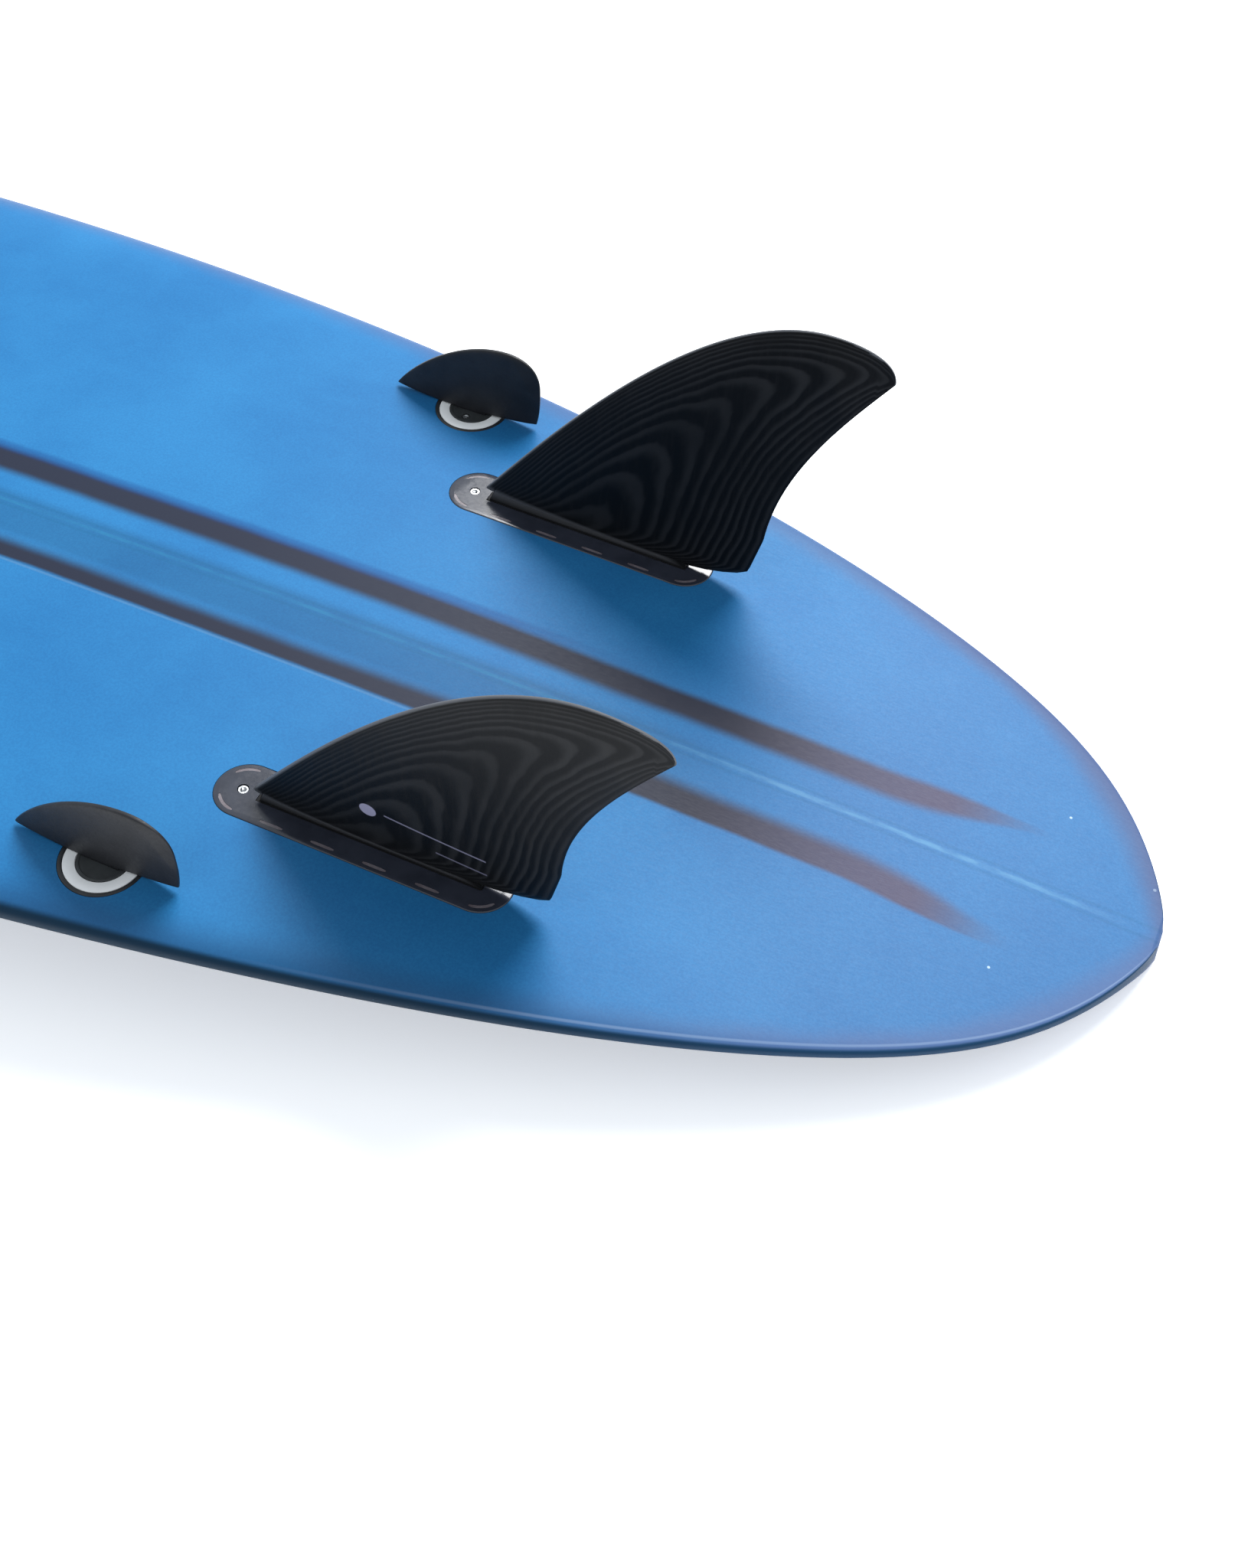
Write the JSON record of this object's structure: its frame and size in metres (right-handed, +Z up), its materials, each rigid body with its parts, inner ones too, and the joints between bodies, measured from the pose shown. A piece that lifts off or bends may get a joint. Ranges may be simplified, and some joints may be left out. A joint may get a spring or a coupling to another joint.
{
  "type": "surfboard",
  "caption": "Round-pin surfboard lying deck down: foam and glass body with stringer, upright twin fins in long boxes, and small half-moon side fins in round plugs.",
  "frame": {"origin": "on the floor, under the middle of the board's length and width, with the board lying deck down", "axes": "+X towards the tail, +Y towards the rider's left rail, +Z up, out of the bottom on the fin side"},
  "size_m": [1.803, 0.4696, 0.1887],
  "materials": {
    "foam": "sealed inside",
    "stringer_wood": "seen through tinted resin",
    "bottom_skin": "sanded satin, blue tint",
    "deck_skin": "satin, dark blue tint",
    "box_plastic": "gloss",
    "screw_steel": "bright",
    "main_fin_glass": "satin fibreglass",
    "plug_black": "satin",
    "plug_white": "satin",
    "plug_grey": "satin",
    "side_fin_plastic": "matte",
    "leash_plastic": "satin",
    "leash_steel": "bright"
  },
  "bodies": {
    "board": {"foam_blank_left": "foam", "foam_blank_right": "foam", "stringer": "stringer_wood", "bottom_laminate": "bottom_skin", "deck_laminate": "deck_skin", "fin_box_left": "box_plastic", "fin_box_right": "box_plastic", "side_plug_housing_left": "plug_black", "side_plug_housing_right": "plug_black", "side_plug_ring_left": "plug_white", "side_plug_ring_right": "plug_white", "side_plug_core_left": "plug_grey", "side_plug_core_right": "plug_grey", "leash_cup": "leash_plastic", "leash_bar": "leash_steel"},
    "main_fin_left": {"main_fin_left": "main_fin_glass"},
    "box_screw_left": {"box_screw_left": "screw_steel"},
    "side_fin_left": {"side_fin_left": "side_fin_plastic"},
    "side_screw_left": {"side_screw_left": "screw_steel"},
    "main_fin_right": {"main_fin_right": "main_fin_glass"},
    "box_screw_right": {"box_screw_right": "screw_steel"},
    "side_fin_right": {"side_fin_right": "side_fin_plastic"},
    "side_screw_right": {"side_screw_right": "screw_steel"}
  },
  "joints": [
    {"name": "main_fin_left_slide", "type": "slide", "parent": "board", "child": "main_fin_left", "axis": [0.1144, 0.0698, 0.991], "range_m": [0, 0.03]},
    {"name": "box_screw_left_turn", "type": "hinge", "parent": "board", "child": "box_screw_left", "pos_m": [0.53436, 0.1045, 0.0609], "axis": [0.114, 0, 0.9935], "continuous": true},
    {"name": "side_fin_left_slide", "type": "slide", "parent": "board", "child": "side_fin_left", "axis": [0.1017, 0, 0.9948], "range_m": [0, 0.025]},
    {"name": "side_screw_left_turn", "type": "hinge", "parent": "board", "child": "side_screw_left", "pos_m": [0.50359, 0.1532, 0.06438], "axis": [0.1017, 0, 0.9948], "continuous": true},
    {"name": "main_fin_right_slide", "type": "slide", "parent": "board", "child": "main_fin_right", "axis": [0.1144, -0.0698, 0.991], "range_m": [0, 0.03]},
    {"name": "box_screw_right_turn", "type": "hinge", "parent": "board", "child": "box_screw_right", "pos_m": [0.53436, -0.1045, 0.0609], "axis": [0.114, 0, 0.9935], "continuous": true},
    {"name": "side_fin_right_slide", "type": "slide", "parent": "board", "child": "side_fin_right", "axis": [0.1017, 0, 0.9948], "range_m": [0, 0.025]},
    {"name": "side_screw_right_turn", "type": "hinge", "parent": "board", "child": "side_screw_right", "pos_m": [0.50359, -0.1532, 0.06438], "axis": [0.1017, 0, 0.9948], "continuous": true}
  ]
}
